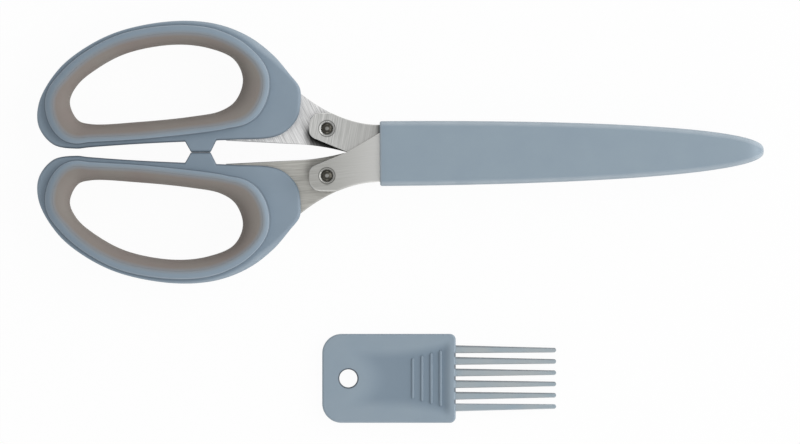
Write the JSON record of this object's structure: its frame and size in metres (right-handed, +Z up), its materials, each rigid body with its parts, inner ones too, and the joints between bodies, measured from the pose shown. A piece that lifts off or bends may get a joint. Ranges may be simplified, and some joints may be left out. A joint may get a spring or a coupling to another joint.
{
  "type": "herb scissors",
  "caption": "Herb scissors with a stack of parallel blades on each half, soft-lined finger loops, a pull-off blade sheath and a loose cleaning comb.",
  "frame": {"origin": "point on the sheath's flat underside, on the table, straight under the pivot", "axes": "+X from the pivot to the blade tips, +Y to the side of the upper handle, +Z up out of the table along the pivot"},
  "size_m": [0.2249, 0.1244, 0.0217],
  "materials": {
    "handle_plastic": "fine matt moulding, slate blue",
    "grip_rubber": "soft matt, taupe",
    "blade_steel": "brushed",
    "fastener_steel": "satin, darker than the blades",
    "sheath_plastic": "satin moulding, slate blue",
    "comb_plastic": "satin moulding, slate blue"
  },
  "bodies": {
    "pivot": {"pivot_screw": "fastener_steel", "pivot_nut": "fastener_steel", "pivot_washer_1": "fastener_steel", "pivot_washer_2": "fastener_steel", "pivot_washer_3": "fastener_steel", "pivot_washer_4": "fastener_steel"},
    "upper_half": {"handle_upper": "handle_plastic", "grip_upper": "grip_rubber", "rivet_upper": "fastener_steel", "blade_upper_1": "blade_steel", "blade_upper_2": "blade_steel", "blade_upper_3": "blade_steel", "blade_upper_4": "blade_steel", "blade_upper_5": "blade_steel", "spacer_upper_1": "fastener_steel", "spacer_upper_2": "fastener_steel", "spacer_upper_3": "fastener_steel", "spacer_upper_4": "fastener_steel"},
    "lower_half": {"handle_lower": "handle_plastic", "grip_lower": "grip_rubber", "rivet_lower": "fastener_steel", "blade_lower_1": "blade_steel", "blade_lower_2": "blade_steel", "blade_lower_3": "blade_steel", "blade_lower_4": "blade_steel", "blade_lower_5": "blade_steel", "spacer_lower_1": "fastener_steel", "spacer_lower_2": "fastener_steel", "spacer_lower_3": "fastener_steel", "spacer_lower_4": "fastener_steel"},
    "sheath": {"sheath": "sheath_plastic"},
    "comb": {"comb": "comb_plastic"}
  },
  "joints": [
    {"name": "sheath_slide", "type": "slide", "parent": "pivot", "child": "sheath", "axis": [1, 0, 0], "range_m": [0, 0.52]},
    {"name": "upper_open", "type": "hinge", "parent": "pivot", "child": "upper_half", "pos_m": [0, 0, 0.01084], "axis": [0, 0, -1], "range_deg": [0, 20]},
    {"name": "lower_open", "type": "hinge", "parent": "pivot", "child": "lower_half", "pos_m": [0, 0, 0.01084], "axis": [0, 0, 1], "range_deg": [0, 20]},
    {"name": "comb_lift", "type": "slide", "parent": "pivot", "child": "comb", "axis": [0, 0, 1], "range_m": [0, 0.08]}
  ],
  "couplings": [
    {"joint": "upper_open", "follows": "sheath_slide", "rad_per_m": 0.6712},
    {"joint": "lower_open", "follows": "sheath_slide", "rad_per_m": 0.6712}
  ]
}
